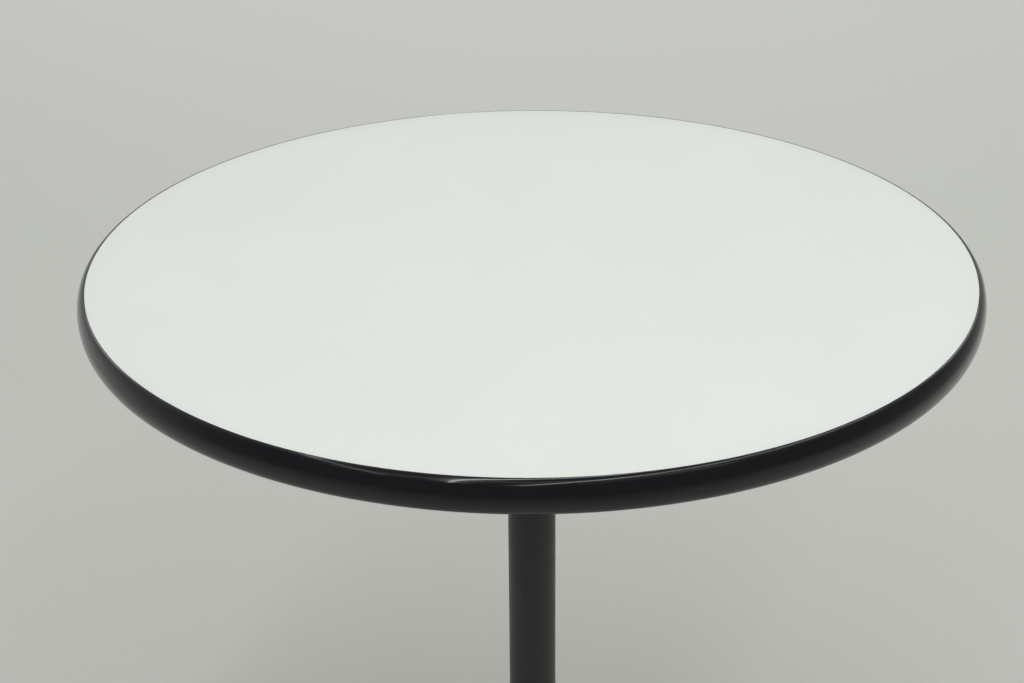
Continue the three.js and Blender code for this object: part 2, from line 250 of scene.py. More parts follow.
def paint_material(name, dark, light, lump, depth, rough):
    """Charcoal powder coat: orange-peel skin, worn convex edges and dust low down."""
    material, tree, shader, place = new_material(name)
    cloud = noise(tree, place, 0.03, detail=4)
    peel = noise(tree, place, lump, detail=2)
    broad = noise(tree, place, lump * 7, detail=3)
    colour = blend(tree, fit(tree, cloud, 0.3, 0.7, 0, 1), dark, light)

    height = height_over_floor(tree, place)
    dust = noise(tree, place, 0.018, detail=6, roughness=0.7)
    low = fit(tree, height, 0.02, 0.2, 1, 0, smooth=True)
    dusty = maths(tree, "MULTIPLY", low, fit(tree, dust, 0.45, 0.75, 0, 0.35))
    colour = blend(tree, dusty, colour, (0.085, 0.08, 0.072))

    wear = node(tree, "ShaderNodeAttribute", attribute_name="wear").outputs["Fac"]
    chips = noise(tree, place, 0.0045, detail=5, roughness=0.7)
    worn = maths(tree, "MULTIPLY", wear, fit(tree, chips, 0.5, 0.62, 0, 1))
    colour = blend(tree, maths(tree, "MULTIPLY", worn, 0.5), colour, (0.12, 0.118, 0.115))
    tree.links.new(colour, shader.inputs["Base Color"])

    gloss = fit(tree, cloud, 0.3, 0.7, rough - 0.05, rough + 0.06)
    gloss = maths(tree, "ADD", gloss, maths(tree, "MULTIPLY", dusty, 0.4))
    tree.links.new(gloss, shader.inputs["Roughness"])
    fine = bump(tree, peel, depth)
    tree.links.new(bump(tree, broad, depth * 3, over=fine), shader.inputs["Normal"])
    return material


def metal_material(name, dark, light, rough):
    """Metal with a patchy film on it and a fine grain."""
    material, tree, shader, place = new_material(name)
    film = noise(tree, place, 0.008, detail=4, roughness=0.6)
    grain = noise(tree, place, 0.0006, detail=3)
    plating = blend(tree, fit(tree, film, 0.3, 0.7, 0, 1), dark, light)
    tree.links.new(plating, shader.inputs["Base Color"])
    tree.links.new(fit(tree, film, 0.3, 0.7, rough - 0.06, rough + 0.1), shader.inputs["Roughness"])
    tree.links.new(bump(tree, grain, 0.000012), shader.inputs["Normal"])
    shader.inputs["Metallic"].default_value = 1.0
    return material


def nylon_material():
    """Black moulded nylon: a dull moulded skin, scuffed grey near the floor."""
    material, tree, shader, place = new_material("black_nylon")
    skin = noise(tree, place, 0.0008, detail=2)
    scuffs = noise(tree, place, 0.003, detail=6, roughness=0.75, stretch=(1, 1, 3))
    low = fit(tree, height_over_floor(tree, place), 0.0005, 0.004, 1, 0, smooth=True)
    scuffed = maths(tree, "MULTIPLY", low, fit(tree, scuffs, 0.4, 0.65, 0, 0.7))
    tree.links.new(
        blend(tree, scuffed, (0.014, 0.014, 0.015), (0.11, 0.105, 0.098)),
        shader.inputs["Base Color"],
    )
    tree.links.new(fit(tree, scuffs, 0.3, 0.7, 0.42, 0.62), shader.inputs["Roughness"])
    tree.links.new(bump(tree, skin, 0.00003), shader.inputs["Normal"])
    return material


def board_material():
    """Particleboard: pressed chips of several browns."""
    material, tree, shader, place = new_material("particleboard")
    squashed = node(tree, "ShaderNodeMapping", {"Vector": place, "Scale": (1, 1, 3)})
    inputs = {"Vector": squashed.outputs["Vector"], "Scale": 420.0}
    chips = node(tree, "ShaderNodeTexVoronoi", inputs)
    tone = node(tree, "ShaderNodeSeparateColor", {"Color": chips.outputs["Color"]}).outputs["Red"]
    fibre = noise(tree, place, 0.001, detail=4)
    brown = blend(tree, tone, (0.33, 0.215, 0.115), (0.6, 0.46, 0.29))
    brown = blend(tree, fit(tree, fibre, 0.4, 0.7, 0, 0.5), brown, (0.23, 0.14, 0.07))
    tree.links.new(brown, shader.inputs["Base Color"])
    tree.links.new(fit(tree, fibre, 0.3, 0.7, 0.75, 0.92), shader.inputs["Roughness"])
    tree.links.new(bump(tree, chips.outputs["Distance"], 0.0003), shader.inputs["Normal"])
    return material


def backer_material():
    """The underside's balancing sheet: dark brown phenolic with a dull sanded face."""
    material, tree, shader, place = new_material("phenolic_backer")
    mottle = noise(tree, place, 0.012, detail=5, roughness=0.65)
    sanding = noise(tree, place, 0.0012, detail=3, stretch=(0.06, 1, 1))
    brown = blend(tree, fit(tree, mottle, 0.3, 0.7, 0, 1), (0.026, 0.02, 0.016), (0.05, 0.039, 0.031))
    brown = blend(tree, fit(tree, sanding, 0.55, 0.75, 0, 0.25), brown, (0.09, 0.078, 0.065))
    tree.links.new(brown, shader.inputs["Base Color"])
    tree.links.new(fit(tree, mottle, 0.3, 0.7, 0.5, 0.66), shader.inputs["Roughness"])
    tree.links.new(bump(tree, sanding, 0.00003), shader.inputs["Normal"])
    return material


MATERIALS = {
    "laminate": laminate_material(),
    "edge_vinyl": vinyl_material(),
    "core_board": board_material(),
    "backer_sheet": backer_material(),
    "column_paint": paint_material(
        "column_powder_coat", (0.0165, 0.0162, 0.02), (0.0195, 0.0192, 0.023), 0.0011, 0.00002, 0.42
    ),
    "casting_paint": paint_material(
        "casting_powder_coat", (0.0155, 0.0155, 0.0175), (0.0195, 0.0195, 0.0215), 0.0016, 0.00006, 0.46
    ),
    "zinc_steel": metal_material("zinc_plate", (0.5, 0.5, 0.47), (0.66, 0.66, 0.65), 0.3),
    "insert_brass": metal_material("brass", (0.5, 0.36, 0.14), (0.72, 0.55, 0.26), 0.3),
    "glide_nylon": nylon_material(),
}

# ---------------------------------------------------------------- mesh helpers


def joined(bm, low, high, wrap):
    """Faces between two rings of points, either of which may be a single point."""
    count = max(len(low), len(high))
    for i in range(count if wrap else count - 1):
        k = (i + 1) % count
        if len(low) == 1:
            bm.faces.new((low[0], high[k], high[i]))
        elif len(high) == 1:
            bm.faces.new((low[i], low[k], high[0]))
        else:
            bm.faces.new((low[i], low[k], high[k], high[i]))


def spun(rings, segments=48, loop=False, gap=0.0):
    """A solid turned round Z from (radius, height) rings, where a radius may depend on the angle.

    The first and last rings have no radius, or the skin loops back from the last to the first.
    A gap leaves a slit of that angle at the back, with its two ends closed.
    """
    bm = bmesh.new()
    wrap = gap == 0
    count = segments if wrap else segments + 1
    angles = [math.pi / 2 + gap / 2 + (math.tau - gap) * i / segments for i in range(count)]
    loops = []
    for radius, height in rings:
        if radius == 0:
            loops.append([bm.verts.new((0, 0, height))])
            continue
        reach = radius if callable(radius) else lambda angle, radius=radius: radius
        points = [(reach(a) * math.cos(a), reach(a) * math.sin(a), height) for a in angles]
        loops.append([bm.verts.new(p) for p in points])
    following = loops[1:] + ([loops[0]] if loop else [])
    for low, high in zip(loops, following):
        joined(bm, low, high, wrap)
    if not wrap:
        bm.faces.new([points[0] for points in loops])
        bm.faces.new([points[-1] for points in reversed(loops)])
    return bm


def arc(centre, radius, start, end, steps, squash=1.0):
    """(radius, height) points on an arc, anticlockwise from start to end in degrees."""
    made = []
    for i in range(steps + 1):
        angle = math.radians(start + (end - start) * i / steps)
        across, up = radius * math.cos(angle), radius * squash * math.sin(angle)
        made.append((centre[0] + across, centre[1] + up))
    return made


def sweep(start, control, end, steps):
    """(radius, height) points on a quadratic curve."""
    made = []
    for i in range(steps + 1):
        t = i / steps
        a, b, c = (1 - t) ** 2, 2 * t * (1 - t), t * t
        made.append(tuple(a * start[k] + b * control[k] + c * end[k] for k in range(2)))
    return made


def hexagon(across, corner_limit=None):
    """A hexagon's radius at an angle, cut back to a limit where it is chamfered."""

    def radius(angle):
        from_flat = (angle % (math.tau / 6)) - math.tau / 12
        flat = across / 2 / math.cos(from_flat)
        return flat if corner_limit is None else min(flat, corner_limit)

    return radius


def thread(radius, pitch, low, high, share=0.55):
    """The rings of a right-hand thread that runs out at both ends."""
    steps = round((high - low) / pitch * THREAD_STEPS)
    rings = []
    for k in range(steps + 1):
        z = low + (high - low) * k / steps
        fade = min(1.0, (z - low) / pitch, (high - z) / pitch)

        def at(angle, z=z, fade=fade):
            turn = (z / pitch - angle / math.tau) % 1.0
            return radius - share * pitch * fade * (1 - abs(2 * turn - 1))

        rings.append((at, z))
    return rings


def inset(outline, distance):
    """A closed anticlockwise outline moved inwards."""
    moved = []
    for i, point in enumerate(outline):
        before = (point - outline[i - 1]).normalized()
        after = (outline[(i + 1) % len(outline)] - point).normalized()
        inward = Vector((-before.y - after.y, before.x + after.x)).normalized()
        stretch = 1 / max(0.5, inward.dot(Vector((-before.y, before.x))))
        moved.append(point + inward * distance * stretch)
    return moved


def bar_outline(start, end, halves, corner=0.0, nose=False, steps=6):
    """Seen from above, a bar along X that tapers between two half widths.

    Its corners are square or rounded, and its far end may be a full round nose. The left side
    mirrors the right.
    """

    def half(x):
        return halves[0] + (halves[1] - halves[0]) * (x - start) / (end - start)

    side = []
    for i in range(steps + 1 if corner else 1):
        angle = math.pi / 2 * i / steps
        x = start + corner * (1 - math.cos(angle))
        side.append((x, -half(x) + corner * (1 - math.sin(angle))))
    if nose:
        for i in range(2 * steps):
            angle = math.pi / 2 * i / (2 * steps)
            side.append((end + halves[1] * math.sin(angle), -halves[1] * math.cos(angle)))
        tip = [(end + halves[1], 0)]
    else:
        tip = []
        for i in range(steps + 1 if corner else 1):
            angle = math.pi / 2 * i / steps
            x = end - corner * (1 - math.sin(angle))
            side.append((x, -half(x) + corner * (1 - math.cos(angle))))
    other = [(x, -y) for x, y in reversed(side)]
    return [Vector(p) for p in side + tip + other]


def bar(outline, bottom, top, round_top=0.0, round_bottom=0.0, steps=5):
    """A solid bar between two heights, each a function of x, with its upper and lower edges rounded."""
    bm = bmesh.new()
    rings = []
    for radius, surface, sign in ((round_bottom, bottom, 1), (round_top, top, -1)):
        levels = []
        for i in range(steps + 1 if radius else 1):
            angle = math.pi / 2 * i / steps
            levels.append((radius * (1 - math.sin(angle)), radius * (1 - math.cos(angle))))
        if sign < 0:
            levels.reverse()
        for back, rise in levels:
            points = inset(outline, back) if back else outline
            rings.append([bm.verts.new((p.x, p.y, surface(p.x) + sign * rise)) for p in points])
    for low, high in zip(rings, rings[1:]):
        joined(bm, low, high, True)
    for ring in (rings[0], rings[-1]):
        count = len(ring)
        for i in range(count // 2 - (count % 2 == 0)):
            corners = [ring[i], ring[i + 1], ring[count - 2 - i], ring[count - 1 - i]]
            bm.faces.new([v for k, v in enumerate(corners) if v not in corners[:k]])
    return bm


def moved(bm, offset=(0, 0, 0), turn=0.0):
    """The same mesh, shifted and then turned round Z."""
    bm.transform(Matrix.Rotation(turn, 4, "Z") @ Matrix.Translation(offset))
    return bm


def face_outwards(bm):
    """Turns every face outwards. Recalculating alone can leave a hollowed shape inside out."""
    bmesh.ops.recalc_face_normals(bm, faces=bm.faces)
    if bm.calc_volume(signed=True) < 0:
        bmesh.ops.reverse_faces(bm, faces=bm.faces)


def scratch(bm):
    """A throwaway object that holds a mesh, with its faces pointing out."""
    face_outwards(bm)
    mesh = bpy.data.meshes.new("scratch")
    bm.to_mesh(mesh)
    bm.free()
    made = bpy.data.objects.new("scratch", mesh)
    bpy.context.scene.collection.objects.link(made)
    return made


def evaluated(obj):
    """The object's mesh once its modifiers have run, as a bmesh."""
    bm = bmesh.new()
    bm.from_object(obj, bpy.context.evaluated_depsgraph_get())
    return bm


def combined(base, tools, operation):
    """A mesh joined with, or cut by, others, one after another."""
    target = scratch(base)
    helpers = [scratch(tool) for tool in tools]
    for helper in helpers:
        modifier = target.modifiers.new("combine", "BOOLEAN")
        modifier.operation = operation
        modifier.solver = "EXACT"
        modifier.object = helper
    made = evaluated(target)
    for obj in [target, *helpers]:
        mesh = obj.data
        bpy.data.objects.remove(obj)
        bpy.data.meshes.remove(mesh)
    bmesh.ops.remove_doubles(made, verts=made.verts, dist=1e-6)
    bmesh.ops.dissolve_limit(
        made, angle_limit=math.radians(1), verts=made.verts, edges=made.edges
    )
    return made


def softened(bm, width, segments=2, angle=32):
    """Every edge sharper than an angle rounded over."""
    target = scratch(bm)
    modifier = target.modifiers.new("soften", "BEVEL")
    modifier.width = width
    modifier.segments = segments
    modifier.limit_method = "ANGLE"
    modifier.angle_limit = math.radians(angle)
    made = evaluated(target)
    mesh = target.data
    bpy.data.objects.remove(target)
    bpy.data.meshes.remove(mesh)
    return made


def mark_wear(mesh, reach):
    """Stores how far each point stands out from its neighbours, which is where paint rubs off."""
    bm = bmesh.new()
    bm.from_mesh(mesh)
    bm.normal_update()
    values = []
    for vert in bm.verts:
        lean = [vert.normal.dot((vert.co - e.other_vert(vert).co).normalized()) for e in vert.link_edges]
        values.append(max(0.0, min(1.0, max(lean, default=0) / reach)))
    bm.free()
    attribute = mesh.attributes.new("wear", "FLOAT", "POINT")
    attribute.data.foreach_set("value", values)


def add_piece(name, bm, slot, body, nodes, crease=30):
    """A finished piece: it wears a slot's material, rides on a body and stands for CAD nodes."""
    face_outwards(bm)
    mesh = bpy.data.meshes.new(name)
    bm.to_mesh(mesh)
    bm.free()
    mesh.materials.append(MATERIALS[slot])
    mesh.shade_smooth()
    mesh.set_sharp_from_angle(angle=math.radians(crease))
    if slot in WORN_SLOTS:
        mark_wear(mesh, WEAR_REACH)
    piece = bpy.data.objects.new(name, mesh)
    bpy.context.scene.collection.objects.link(piece)
    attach(piece, body)
    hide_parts(*nodes)


# ---------------------------------------------------------------- the top

TOP_SEGMENTS = 240
ROUND_SEGMENTS = 96


def corner_angle(i):
    """The direction of a leg and of a spider arm, in the order of CORNERS."""
    return -math.pi / 4 + i * math.pi / 2


def top_screws():
    """The name and the place of each screw that holds the top."""
    for i, corner in enumerate(CORNERS):
        for place, radius in TOP_SCREW_RADII.items():
            angle = corner_angle(i)
            yield f"{corner}_{place}", radius * math.cos(angle), radius * math.sin(angle)


def laminate_sheet():
    bottom, top, ease = sheet_low.z, sheet_high.z, 0.2 * MM
    flats = [SHEET_RADIUS * share for share in (0.25, 0.5, 0.75, 0.95)]
    rings = [(0, bottom), *((r, bottom) for r in flats), (SHEET_RADIUS, bottom)]
    rings += arc((SHEET_RADIUS - ease, top - ease), ease, 0, 90, 3)
    rings += [*((r, top) for r in reversed(flats)), (0, top)]
    return spun(rings, TOP_SEGMENTS)


def edge_moulding():
    """The D-shaped band with a small lip at each seam and a barbed tongue. Its ends butt at the back."""
    middle, half = (TOP_Z + UNDERSIDE_Z) / 2, (TOP_Z - UNDERSIDE_Z) / 2
    bulge = EDGE_RADIUS - PANEL_RADIUS
    lip = 0.15 * MM
    tip = PANEL_RADIUS - BAND_TONGUE_DEPTH
    rings = [(PANEL_RADIUS, middle - half + lip)]
    rings += arc((PANEL_RADIUS, middle), bulge, -88, 88, 36, half / bulge)
    rings += [(PANEL_RADIUS, middle + half - lip), (PANEL_RADIUS, middle + BAND_TONGUE_HALF)]
    barbs = [PANEL_RADIUS - share * BAND_TONGUE_DEPTH for share in (0.35, 0.6, 0.85)]
    barb, root = BAND_TONGUE_HALF, BAND_TONGUE_HALF * 0.65
    for radius in barbs:
        rings += [(radius + 1.5 * MM, middle + root), (radius + 0.6 * MM, middle + barb)]
        rings += [(radius, middle + root)]
    rings += [(tip, middle + root * 0.6), (tip, middle - root * 0.6)]
    for radius in reversed(barbs):
        rings += [(radius, middle - root), (radius + 0.6 * MM, middle - barb)]
        rings += [(radius + 1.5 * MM, middle - root)]
    rings += [(PANEL_RADIUS, middle - BAND_TONGUE_HALF)]
    return spun(rings, TOP_SEGMENTS, loop=True, gap=0.25 * MM / EDGE_RADIUS)


def backer_panel():
    """The underside sheet with a hole at each insert."""
    bm = bmesh.new()
    low, high = UNDERSIDE_Z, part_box("top_backer")[1].z
    circles = [((0, 0), SHEET_RADIUS, TOP_SEGMENTS)]
    circles += [((x, y), INSERT_HOLE_RADIUS, 32) for _, x, y in top_screws()]
    for (x, y), radius, count in circles:
        ring = []
        for i in range(count):
            angle = math.tau * i / count
            ring.append(bm.verts.new((x + radius * math.cos(angle), y + radius * math.sin(angle), low)))
        for a, b in zip(ring, ring[1:] + ring[:1]):
            bm.edges.new((a, b))
    bmesh.ops.triangle_fill(bm, use_beauty=True, edges=bm.edges[:])
    grown = bmesh.ops.extrude_face_region(bm, geom=bm.faces[:])
    raised = [v for v in grown["geom"] if isinstance(v, bmesh.types.BMVert)]
    bmesh.ops.translate(bm, verts=raised, vec=(0, 0, high - low))
    return bm


def threaded_bush():
    """A screw-in insert: a coarse thread outside, a plain rim and a smooth bore."""
    outer, bore, length = 5 * MM, SCREW_HOLE_RADIUS, 12 * MM
    rings = [(bore, 0.4 * MM), (bore + 0.4 * MM, 0), (outer, 0), (outer, 0.8 * MM)]
    rings += thread(outer, 2.5 * MM, 0.8 * MM, length - 0.6 * MM, 0.22)
    rings += [(outer - 0.6 * MM, length), (bore + 0.4 * MM, length), (bore, length - 0.4 * MM)]
    return spun(rings, 36, loop=True)


def machine_screw(size):
    """A cap screw pointing up from its head's face, with a hexagon socket. Its rim may be knurled."""
    radius, pitch, length = size["radius"], size["pitch"], size["length"]
    head, tall, socket, deep = size["head"], size["tall"], size["socket"], size["deep"]
    ease = 0.08 * head

    def ridge(angle):
        return head - KNURL_SWING * head * (1 + math.cos(angle * KNURLS))

    rings = [(0, deep + 0.3 * MM), (hexagon(socket), deep), (hexagon(socket), 0.25 * MM)]
    rings += [(hexagon(socket + 0.5 * MM), 0)]
    rings += arc((head - ease, ease), ease, -90, 0, 3)
    if size["knurled"]:
        rings += [(ridge, ease + 0.2 * MM), (ridge, tall - 0.6 * MM)]
    rings += [(head, tall - 0.3 * MM), (head - 0.3 * MM, tall)]
    rings += sweep((radius + 0.5 * MM, tall), (radius, tall), (radius, tall + 0.5 * MM), 3)
    rings += thread(radius, pitch, tall + 0.5 * MM, tall + length - 0.8 * MM)
    rings += [(radius * 0.8, tall + length), (0, tall + length)]
    return spun(rings, 48)


TOP_SCREW = {
    "radius": 3 * MM, "pitch": 1 * MM, "length": 16 * MM, "head": 6 * MM, "tall": 3.6 * MM,
    "socket": 4 * MM, "deep": 2.2 * MM, "knurled": False,
}
LEG_BOLT = {
    "radius": 4 * MM, "pitch": 1.25 * MM, "length": 40 * MM, "head": 6.5 * MM, "tall": 8 * MM,
    "socket": 6 * MM, "deep": 4.5 * MM, "knurled": True,
}

# ---------------------------------------------------------------- spider, column and rod


def spider_casting():
    """Four channel-section arms run out from a plate and a collar that takes the column."""
    plate, thick, deep, ceiling = 52 * MM, 7 * MM, 44 * MM, 14 * MM
    socket = COLUMN_RADIUS + FIT
    bore = ROD_RADIUS + FIT

    def z(down):
        return UNDERSIDE_Z - down

    rings = [(socket, z(deep - 1 * MM)), (socket + 1 * MM, z(deep))]
    rings += arc((COLLAR_RADIUS - 2 * MM, z(deep - 2 * MM)), 2 * MM, -90, 0, 4)
    rings += sweep((COLLAR_RADIUS, z(36 * MM)), (COLLAR_RADIUS, z(thick)), (plate, z(thick)), 12)
    rings += [(plate + 0.5 * MM, z(thick - 0.5 * MM)), (plate + 0.5 * MM, z(0.5 * MM)), (plate, z(0))]
    rings += [(bore, z(0)), (bore, z(ceiling)), (socket, z(ceiling))]
    head = spun(rings, ROUND_SEGMENTS, loop=True)

    start, end, halves = 24 * MM, 240 * MM, (19 * MM, 13 * MM)

    def drop(x):
        return 36 * MM + (9 - 36) * MM * (x - start) / (end - start)

    web, flange = SPIDER_WEB, 4 * MM
    inner = plate + flange
    inner_halves = (halves[0] - flange - 0.5 * MM, halves[1] - flange)
    arms, cuts = [], []
    for i in range(4):
        turn = corner_angle(i)
        outline = bar_outline(start, end, halves, nose=True)
        arm = bar(outline, lambda x: z(drop(min(x, end))), lambda x: z(0), round_bottom=1.8 * MM)
        arms.append(moved(arm, turn=turn))
        channel = bar_outline(inner, end, inner_halves, corner=4 * MM, nose=True)
        cutter = bar(channel, lambda x: z(BEYOND), lambda x: z(web), round_top=2 * MM)
        cuts.append(moved(cutter, turn=turn))
        for radius in TOP_SCREW_RADII.values():
            low, high = z(20 * MM), z(-5 * MM)
            rings = [(0, low), (SCREW_HOLE_RADIUS, low), (SCREW_HOLE_RADIUS, high), (0, high)]
            hole = spun(rings, 24)
            cuts.append(moved(hole, (radius, 0, 0), turn))
    casting = combined(head, arms, "UNION")
    casting = combined(casting, cuts, "DIFFERENCE")
    return softened(casting, 0.6 * MM)


def column_tube():
    wall, ease, parts = 2 * MM, 0.6 * MM, 40
    low, high, inner = tube_low.z, tube_high.z, COLUMN_RADIUS - wall
    heights = [low + ease + (high - low - 2 * ease) * i / parts for i in range(parts + 1)]
    rings = [(inner + ease, low), (COLUMN_RADIUS - ease, low)]
    rings += [(COLUMN_RADIUS, z) for z in heights]
    rings += [(COLUMN_RADIUS - ease, high), (inner + ease, high)]
    rings += [(inner, high - ease), (inner, low + ease)]
    return spun(rings, ROUND_SEGMENTS, loop=True)


def tie_rod():
    low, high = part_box("tie_rod")[0].z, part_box("tie_rod")[1].z
    pitch, threaded = 1.5 * MM, 34 * MM
    rings = [(0, low), (ROD_RADIUS - 0.9 * MM, low)]
    rings += thread(ROD_RADIUS, pitch, low + 0.8 * MM, low + threaded)
    rings += thread(ROD_RADIUS, pitch, high - threaded, high - 0.8 * MM)
    rings += [(ROD_RADIUS - 0.9 * MM, high), (0, high)]
    return spun(rings, 32)


def hub_washer():
    low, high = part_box("tie_rod_washer")[0].z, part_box("tie_rod_washer")[1].z
    outer, bore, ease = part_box("tie_rod_washer")[1].x, ROD_RADIUS + FIT, 0.4 * MM
    rings = [(bore, low), (outer - 2 * ease, low)]
    rings += [(outer - ease, low + 0.3 * ease), (outer, low + 2 * ease)]
    rings += [(outer, high - 0.5 * ease), (outer - 0.5 * ease, high)]
    rings += [(bore + ease, high), (bore, high - ease)]
    return spun(rings, ROUND_SEGMENTS, loop=True)


def hex_nut(across, bore, low, high):
    """A nut with both faces chamfered and its bore countersunk."""
    cut, tall, sink = across / 2 * 0.94, 0.9 * MM, 0.8 * MM
    corner = across / math.sqrt(3)
    rings = [(bore, low + sink), (bore + sink, low), (cut, low)]
    for share in (0.35, 0.7, 1.0):
        rings.append((hexagon(across, cut + (corner - cut) * share), low + tall * share))
    for share in (1.0, 0.7, 0.35):
        rings.append((hexagon(across, cut + (corner - cut) * share), high - tall * share))
    rings += [(cut, high), (bore + sink, high), (bore, high - sink)]
    return spun(rings, 48, loop=True)


# ---------------------------------------------------------------- base


def leg_height(levels):
    """A leg surface's height along x: level inside the hub, then a straight fall to the foot."""
    fall = (levels[1] - levels[0]) / (FOOT_RADIUS - HUB_RADIUS)
    return lambda x: levels[0] + fall * max(0.0, x - HUB_RADIUS)


def leg_half(x):
    share = (x - HUB_RADIUS) / (FOOT_RADIUS - HUB_RADIUS)
    return LEG_HALF[0] + (LEG_HALF[1] - LEG_HALF[0]) * share


def leg_outline():
    """The level root's straight sides, then the arm's taper and its round nose."""
    arm = bar_outline(HUB_RADIUS, FOOT_RADIUS, LEG_HALF, nose=True)
    right = Vector((LEG_ROOT, -LEG_HALF[0]))
    left = Vector((LEG_ROOT, LEG_HALF[0]))
    return [right, *arm, left]


def leg_casting():
    top, bottom = leg_height(LEG_TOP), leg_height(LEG_BOTTOM)
    casting = bar(leg_outline(), bottom, top, round_top=LEG_SHOULDER, round_bottom=1.2 * MM, steps=6)
    cuts = []
    for start, end in LEG_HOLLOWS:
        halves = (leg_half(start) - LEG_WALL, leg_half(end) - LEG_WALL)
        outline = bar_outline(start, end, halves, corner=4 * MM)
        cuts.append(bar(outline, lambda x: -50 * MM, lambda x: top(x) - LEG_WALL, round_top=3 * MM))
    seat = LEG_BOLT_FACE + LEG_BOLT["tall"]
    head, shank = LEG_BOLT["head"] + FIT, LEG_BOLT["radius"] + FIT
    for side in (-1, 1):
        rings = [(0, 0), (head, 0), (head, seat), (shank, seat), (shank, BEYOND), (0, BEYOND)]
        cuts.append(moved(spun(rings, 48), (LEG_BOLT_ALONG, side * LEG_BOLT_SIDE, 0)))
    bore, depth = FOOT_BORE_RADIUS, stem_high.z + 1 * MM
    rings = [(0, 0), (bore, 0), (bore, depth), (0, depth + 2 * MM)]
    cuts.append(moved(spun(rings, 32), (FOOT_RADIUS, 0, 0)))
    casting = combined(casting, cuts, "DIFFERENCE")
    return softened(casting, 0.7 * MM)


def hub_casting():
    """A skirted dome with a collar for the column and four sockets for the legs."""
    shoulder, cavity, cavity_top = 12 * MM, 24 * MM, 58 * MM
    skirt, collar_low, floor = 64 * MM, 100 * MM, tube_low.z
    socket, bore = COLUMN_RADIUS + FIT, ROD_RADIUS + FIT
    inner = HUB_RADIUS - shoulder
    rings = [(cavity, HUB_BOTTOM + 1 * MM), (cavity + 1 * MM, HUB_BOTTOM)]
    rings += [(HUB_RADIUS - 1.5 * MM, HUB_BOTTOM), (HUB_RADIUS, HUB_BOTTOM + 1.5 * MM)]
    rings += [(HUB_RADIUS, z * MM) for z in (34, 44, 54)]
    rings += arc((inner, skirt), shoulder, 0, 88, 10)
    dome = skirt + shoulder
    rings += sweep((inner - 0.5 * MM, dome), (COLLAR_RADIUS, dome), (COLLAR_RADIUS, collar_low), 16)
    rings += arc((COLLAR_RADIUS - 2 * MM, HUB_TOP - 2 * MM), 2 * MM, 0, 90, 4)
    rings += [(socket + 1 * MM, HUB_TOP), (socket, HUB_TOP - 1 * MM), (socket, floor)]
    rings += [(bore, floor), (bore, cavity_top)]
    rings += [(cavity - 3 * MM, cavity_top), (cavity, cavity_top - 3 * MM)]
    casting = spun(rings, 2 * ROUND_SEGMENTS, loop=True)
    cuts = []
    for i in range(4):
        half = LEG_HALF[0] + FIT
        outline = bar_outline(LEG_ROOT - FIT, FOOT_RADIUS, (half, half))
        low, high = -20 * MM, LEG_TOP[0] + FIT
        root = bar(outline, lambda x: low, lambda x: high, round_top=LEG_SHOULDER, steps=6)
        cuts.append(moved(root, turn=corner_angle(i)))
        for side in (-1, 1):
            hole, deep = LEG_BOLT["radius"] + FIT, 72 * MM
            rings = [(0, HUB_BOTTOM), (hole, HUB_BOTTOM), (hole, deep), (0, deep)]
            place = (LEG_BOLT_ALONG, side * LEG_BOLT_SIDE, 0)
            cuts.append(moved(spun(rings, 24), place, corner_angle(i)))
    casting = combined(casting, cuts, "DIFFERENCE")
    # A bevel breaks a flat face that runs round a hole, so such faces are split up first.
    many_sided = [face for face in casting.faces if len(face.verts) > 4]
    bmesh.ops.triangulate(casting, faces=many_sided)
    return softened(casting, 0.5 * MM, angle=40)


def glide_base():
    """The moulded foot: a recessed underside, a rounded rim and a cavity for the screw's head."""
    outer, top, cone = 16 * MM, pad_high.z, 13 * MM
    mouth, cavity = 5.2 * MM, 7.6 * MM
    rings = [(0, 0.4 * MM), (8 * MM, 0.4 * MM), (8.5 * MM, 0), (outer - 1.5 * MM, 0)]
    rings += arc((outer - 1.5 * MM, 1.5 * MM), 1.5 * MM, -80, 0, 4)
    rings += [(outer, 5.2 * MM), (outer - 0.4 * MM, 6.1 * MM)]
    rings += sweep((outer - 1 * MM, 6.6 * MM), (cone + 0.6 * MM, top), (cone - 1 * MM, top), 4)
    rings += [(mouth + 0.5 * MM, top), (mouth, top - 0.5 * MM), (mouth, 6.5 * MM), (cavity, 6.5 * MM)]
    rings += [(cavity, 3 * MM), (0, 3 * MM)]
    return spun(rings, 64)


def glide_screw():
    """The levelling screw: a captive head, a neck, a hexagon for a spanner and the thread."""
    low, high = stem_low.z, stem_high.z
    head, neck, radius, across = 7.3 * MM, 4.9 * MM, 5 * MM, 17 * MM
    hex_low, hex_high = pad_high.z + FIT, pad_high.z + FIT + 5 * MM
    cut, corner, tall = across / 2 * 0.95, across / math.sqrt(3), 0.8 * MM
    rings = [(0, low), (head - 0.5 * MM, low), (head, low + 0.5 * MM)]
    rings += [(head, 5.7 * MM), (head - 0.5 * MM, 6.2 * MM)]
    rings += [(neck, 6.2 * MM), (neck, hex_low), (cut, hex_low)]
    for share in (0.5, 1.0):
        rings.append((hexagon(across, cut + (corner - cut) * share), hex_low + tall * share))
    for share in (1.0, 0.5):
        rings.append((hexagon(across, cut + (corner - cut) * share), hex_high - tall * share))
    rings += [(cut, hex_high), (radius - 0.7 * MM, hex_high), (radius - 0.7 * MM, hex_high + 0.6 * MM)]
    rings += thread(radius, FOOT_PITCH, hex_high + 0.6 * MM, high - 0.8 * MM)
    rings += [(radius - 1 * MM, high), (0, high)]
    return spun(rings, 48)


# ---------------------------------------------------------------- the assembly


